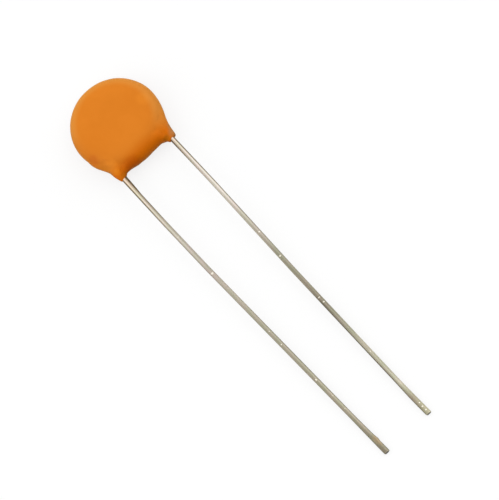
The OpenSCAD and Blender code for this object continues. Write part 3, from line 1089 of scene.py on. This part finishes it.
# %% Join the beads to their wires
SHARP_ANGLE = math.radians(35)


def join_beads(piece, caps):
    select_only(*caps, piece)
    bpy.ops.object.join()
    bpy.ops.object.shade_smooth_by_angle(angle=SHARP_ANGLE)
    print(piece.name, len(piece.data.polygons), "faces,", len(piece.data.materials), "finishes")
    return piece


front_wire = join_beads(front["piece"], front_caps + [shade_smear])
rear_wire = join_beads(rear["piece"], rear_caps)

# %% [markdown]
# ## The stage
#
# The part lies on a plain white surface. Its thick coat holds the disc up, and the wires tip
# forward until their tips touch down, so it rests 1.6 degrees off level. The model stays
# straight, and the floor is tilted under it instead.
#
# White light thrown back by a white floor would wash out the deep orange of the rim. So the
# floor is white only where it is seen, straight or in a reflection, and grey where it would
# light the part.

# %% Floor
FLOOR_TILT = math.radians(1.606)
FLOOR_SIZE = 8  # metres, so wide that its edges are never seen
COAT_TOUCHES = 21.62  # how far back the coat touches the floor, at height 0

deselect_all()
bpy.ops.mesh.primitive_plane_add(size=FLOOR_SIZE)
floor = bpy.context.active_object
floor.name = "floor"
floor.location = (0, COAT_TOUCHES * MM, 0.0)
floor.rotation_euler = (-FLOOR_TILT, 0, 0)
print("floor tilted by", round(math.degrees(FLOOR_TILT), 2), "degrees")

# %% White paper
SHADOW_SHARE = 0.2  # the share of the seen white that takes the shadow
FLOOR_GREY = (0.2, 0.2, 0.2, 1)


def mix_shaders(tree, share, first, second):
    """Mixes two shaders: a share of 0 is all the first one, and 1 all the second one."""
    node = add_node(tree, "ShaderNodeMixShader")
    feed(tree, node.inputs["Fac"], share)
    feed(tree, node.inputs[1], first)
    feed(tree, node.inputs[2], second)
    return node.outputs["Shader"]


def plain_shader(tree, kind, colour):
    node = add_node(tree, kind)
    node.inputs["Color"].default_value = colour
    return node.outputs[0]


paper = bpy.data.materials.new("white_paper")
paper.use_nodes = True
tree = paper.node_tree
tree.nodes.clear()
rays = add_node(tree, "ShaderNodeLightPath").outputs
white = plain_shader(tree, "ShaderNodeBsdfDiffuse", WHITE)
grey = plain_shader(tree, "ShaderNodeBsdfDiffuse", FLOOR_GREY)
glow = plain_shader(tree, "ShaderNodeEmission", WHITE)
mirrored = add_math(tree, "MAXIMUM", rays["Is Glossy Ray"], rays["Is Transmission Ray"])
unseen_floor = mix_shaders(tree, mirrored, grey, white)
seen_floor = mix_shaders(tree, SHADOW_SHARE, glow, white)
surface = add_node(tree, "ShaderNodeOutputMaterial")
feed(tree, surface.inputs["Surface"], mix_shaders(tree, rays["Is Camera Ray"], unseen_floor, seen_floor))
dress(floor, paper)
print("paper:", len(tree.nodes), "nodes")

# %% [markdown]
# The studio's walls are dim at the front and bright at the back, so the metal has something to
# mirror and its sides stay dark. Where the camera sees the sky itself, or sees it in a mirror
# or through glass, it is plain white.

# %% Sky
BRIGHT_SIDE = Vector((0.0, 0.45, 0.89))
DIM_WALL, BRIGHT_WALL = 0.10, 0.90

world = bpy.data.worlds.new("studio")
bpy.context.scene.world = world
world.use_nodes = True
tree = world.node_tree
background = tree.nodes["Background"]
background.inputs["Color"].default_value = WHITE
direction = add_node(tree, "ShaderNodeTexCoord").outputs["Generated"]
facing_back = add_vector_math(tree, "DOT_PRODUCT", direction, BRIGHT_SIDE.normalized())
wall = add_range(tree, facing_back, -0.2, 0.9, DIM_WALL, BRIGHT_WALL)
rays = add_node(tree, "ShaderNodeLightPath").outputs
seen = add_math(tree, "MAXIMUM", rays["Is Camera Ray"], rays["Is Glossy Ray"])
seen = add_math(tree, "MAXIMUM", seen, rays["Is Transmission Ray"])
strength = add_node(tree, "ShaderNodeMix", data_type="FLOAT")
for label, value in (("Factor", seen), ("A", wall), ("B", 1.0)):
    feed(tree, strength.inputs[label], value)
feed(tree, background.inputs["Strength"], strength.outputs["Result"])
print("sky from", DIM_WALL, "to", BRIGHT_WALL)

# %% [markdown]
# Two large round lamps stand low on the left and on the right, along the wires' two sides, and
# a weak one fills in from the front. Their light grazes the disc, so its flat face is even and
# its rim turns softly darker. Large lamps make the soft, faint shadow of a light tent.

# %% Softboxes
def softbox(name, azimuth, elevation, level, size=0.9, distance=0.6):
    """A round lamp aimed at the part. A white card that faces it would look as bright as `level`."""
    azimuth, elevation = math.radians(azimuth), math.radians(elevation)
    towards = Vector((
        math.cos(azimuth) * math.cos(elevation),
        math.sin(azimuth) * math.cos(elevation),
        math.sin(elevation),
    ))
    lamp = bpy.data.lights.new(name, "AREA")
    lamp.shape = "DISK"
    lamp.size = size
    lamp.energy = level * math.pi ** 2 * distance ** 2
    holder = bpy.data.objects.new(name, lamp)
    aimed = towards.to_track_quat("Z", "Y").to_matrix().to_4x4()
    holder.matrix_world = Matrix.Translation(towards * distance) @ aimed
    bpy.context.scene.collection.objects.link(holder)
    print(name, round(lamp.energy, 2), "W")


softbox("left_box", 174, 22, 0.525)
softbox("right_box", 0, 20, 0.60)
softbox("front_box", 270, 58, 0.12)
bpy.context.scene.view_settings.view_transform = "Standard"

# %% [markdown]
# ## Hand over
#
# Each new piece is attached to the body it rides on, and the node of the imported model that
# it stands for is hidden.

# %% Hand over to the frame
for piece, node, slot in (
    (resin, "resin_coating", "resin"),
    (front_wire, "front_lead", "tinned_wire"),
    (rear_wire, "rear_lead", "tinned_wire"),
):
    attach(piece, "root")
    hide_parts(node)
